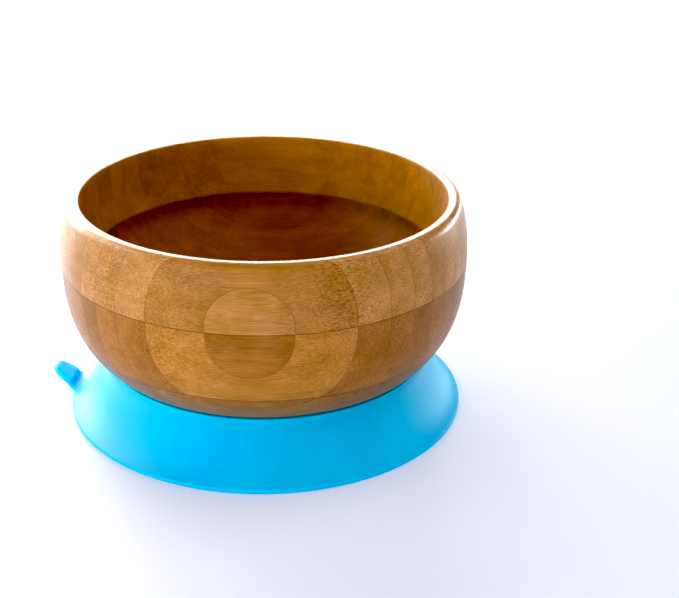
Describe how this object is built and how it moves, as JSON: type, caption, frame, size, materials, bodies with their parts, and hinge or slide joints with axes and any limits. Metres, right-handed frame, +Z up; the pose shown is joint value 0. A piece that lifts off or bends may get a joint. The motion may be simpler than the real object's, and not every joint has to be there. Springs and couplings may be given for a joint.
{
  "type": "suction bowl",
  "caption": "Baby weaning bowl turned from laminated bamboo boards, on a removable silicone suction base with a release tab.",
  "frame": {"origin": "centre of the sealing ring's underside, on the table", "axes": "+Z up along the bowl's turning axis; the bamboo fibres lie along the diagonal between -X and +Y and the pull tab stands within 2 degrees of it, so the tab is over that corner and the footprint stays centred; the board stack's front face looks between -X and -Y"},
  "size_m": [0.121, 0.121, 0.067],
  "materials": {
    "bamboo_rim_course": "satin lacquer",
    "bamboo_wall_course": "satin lacquer",
    "bamboo_floor_course": "satin lacquer",
    "silicone": "matte moulded silicone"
  },
  "bodies": {
    "skirt": {"suction_skirt": "silicone"},
    "base": {"foot_collar": "silicone", "snap_bead": "silicone"},
    "bowl": {"floor_board_01": "bamboo_floor_course", "floor_board_02": "bamboo_floor_course", "floor_board_03": "bamboo_floor_course", "floor_board_04": "bamboo_floor_course", "floor_board_05": "bamboo_floor_course", "floor_board_06": "bamboo_floor_course", "floor_board_07": "bamboo_floor_course", "floor_board_08": "bamboo_floor_course", "floor_board_09": "bamboo_floor_course", "floor_board_10": "bamboo_floor_course", "rim_board_00": "bamboo_rim_course", "rim_board_01": "bamboo_rim_course", "rim_board_02_left": "bamboo_rim_course", "rim_board_02_right": "bamboo_rim_course", "rim_board_03_left": "bamboo_rim_course", "rim_board_03_right": "bamboo_rim_course", "rim_board_04_left": "bamboo_rim_course", "rim_board_04_right": "bamboo_rim_course", "rim_board_05_left": "bamboo_rim_course", "rim_board_05_right": "bamboo_rim_course", "rim_board_06_left": "bamboo_rim_course", "rim_board_06_right": "bamboo_rim_course", "rim_board_07_left": "bamboo_rim_course", "rim_board_07_right": "bamboo_rim_course", "rim_board_08_left": "bamboo_rim_course", "rim_board_08_right": "bamboo_rim_course", "rim_board_09_left": "bamboo_rim_course", "rim_board_09_right": "bamboo_rim_course", "rim_board_10": "bamboo_rim_course", "rim_board_11": "bamboo_rim_course", "wall_board_00": "bamboo_wall_course", "wall_board_01": "bamboo_wall_course", "wall_board_02": "bamboo_wall_course", "wall_board_03": "bamboo_wall_course", "wall_board_04_left": "bamboo_wall_course", "wall_board_04_right": "bamboo_wall_course", "wall_board_05_left": "bamboo_wall_course", "wall_board_05_right": "bamboo_wall_course", "wall_board_06_left": "bamboo_wall_course", "wall_board_06_right": "bamboo_wall_course", "wall_board_07_left": "bamboo_wall_course", "wall_board_07_right": "bamboo_wall_course", "wall_board_08": "bamboo_wall_course", "wall_board_09": "bamboo_wall_course", "wall_board_10": "bamboo_wall_course", "wall_board_11": "bamboo_wall_course"},
    "tab": {"pull_tab": "silicone"}
  },
  "joints": [
    {"name": "suction_press", "type": "slide", "parent": "skirt", "child": "base", "axis": [0, 0, 1], "range_m": [-0.0018, 0], "stiffness_N_per_m": 3000, "springref_m": 0.0015},
    {"name": "bowl_release", "type": "slide", "parent": "base", "child": "bowl", "axis": [0, 0, 1], "range_m": [0, 0.03], "deforming": ["snap_bead"]},
    {"name": "tab_lift", "type": "hinge", "parent": "skirt", "child": "tab", "pos_m": [-0.0416, 0.04461, 0.0019], "axis": [0.7314, 0.682, 0], "range_deg": [0, 55], "stiffness_Nm_per_rad": 0.02}
  ]
}
